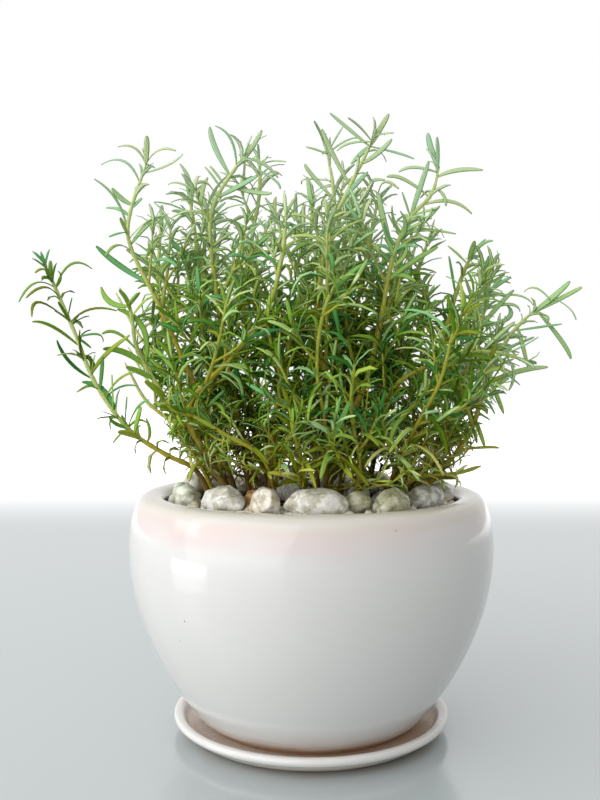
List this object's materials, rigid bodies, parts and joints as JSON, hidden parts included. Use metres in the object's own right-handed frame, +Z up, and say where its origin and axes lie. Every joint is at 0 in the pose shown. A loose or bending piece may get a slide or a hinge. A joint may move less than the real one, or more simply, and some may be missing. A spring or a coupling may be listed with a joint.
{
  "type": "potted rosemary plant",
  "caption": "Bushy rosemary plant with narrow leaves growing from soil and white pebbles in a round glazed ceramic pot on a matching saucer.",
  "frame": {"origin": "centre of the saucer's flat underside, where it rests on the table", "axes": "+Z up through the pot, -Y towards the side seen in the picture, +X to the right in the picture"},
  "size_m": [0.2682, 0.2109, 0.3065],
  "materials": {
    "glaze": "glossy white glaze with a cream and pale pink band under the rim",
    "soil": "rough brown potting soil with bits of bark",
    "pebble": "smooth white and grey quartz pebbles",
    "plant": "green leaves with pale undersides on yellow-green to brown stems"
  },
  "bodies": {
    "root": {"saucer": "glaze", "pot": "glaze", "soil": "soil", "pebble_01": "pebble", "pebble_02": "pebble", "pebble_03": "pebble", "pebble_04": "pebble", "pebble_05": "pebble", "pebble_06": "pebble", "pebble_07": "pebble", "pebble_08": "pebble", "pebble_09": "pebble", "pebble_10": "pebble", "pebble_11": "pebble", "pebble_12": "pebble", "pebble_13": "pebble", "pebble_14": "pebble", "pebble_15": "pebble", "pebble_16": "pebble", "pebble_17": "pebble", "pebble_18": "pebble", "pebble_19": "pebble", "pebble_20": "pebble", "pebble_21": "pebble", "pebble_22": "pebble", "pebble_23": "pebble", "pebble_24": "pebble", "stem_far_left": "plant", "stem_tall_left": "plant", "stem_left_inner": "plant", "stem_crown_left": "plant", "stem_crown_slim": "plant", "stem_arch_left": "plant", "stem_front_left": "plant", "stem_centre_tall": "plant", "stem_centre_back": "plant", "stem_crown_right": "plant", "stem_right_inner": "plant", "stem_right_fork": "plant", "stem_far_right": "plant", "stem_right_arm": "plant", "stem_low_right": "plant", "stem_creeping": "plant", "stem_front_mid": "plant", "stem_front_tuft": "plant", "stem_fork_mid": "plant", "stem_left_slim": "plant", "stem_left_low": "plant", "stem_back_left": "plant", "stem_back_far_left": "plant", "stem_back_mid": "plant", "stem_back_right": "plant", "stem_back_far_right": "plant", "stem_rear_left": "plant", "stem_rear_right": "plant", "stem_mid_right": "plant", "stem_front_right": "plant", "stem_front_centre": "plant", "stem_crown_mid": "plant", "stem_crown_back": "plant"}
  },
  "joints": []
}
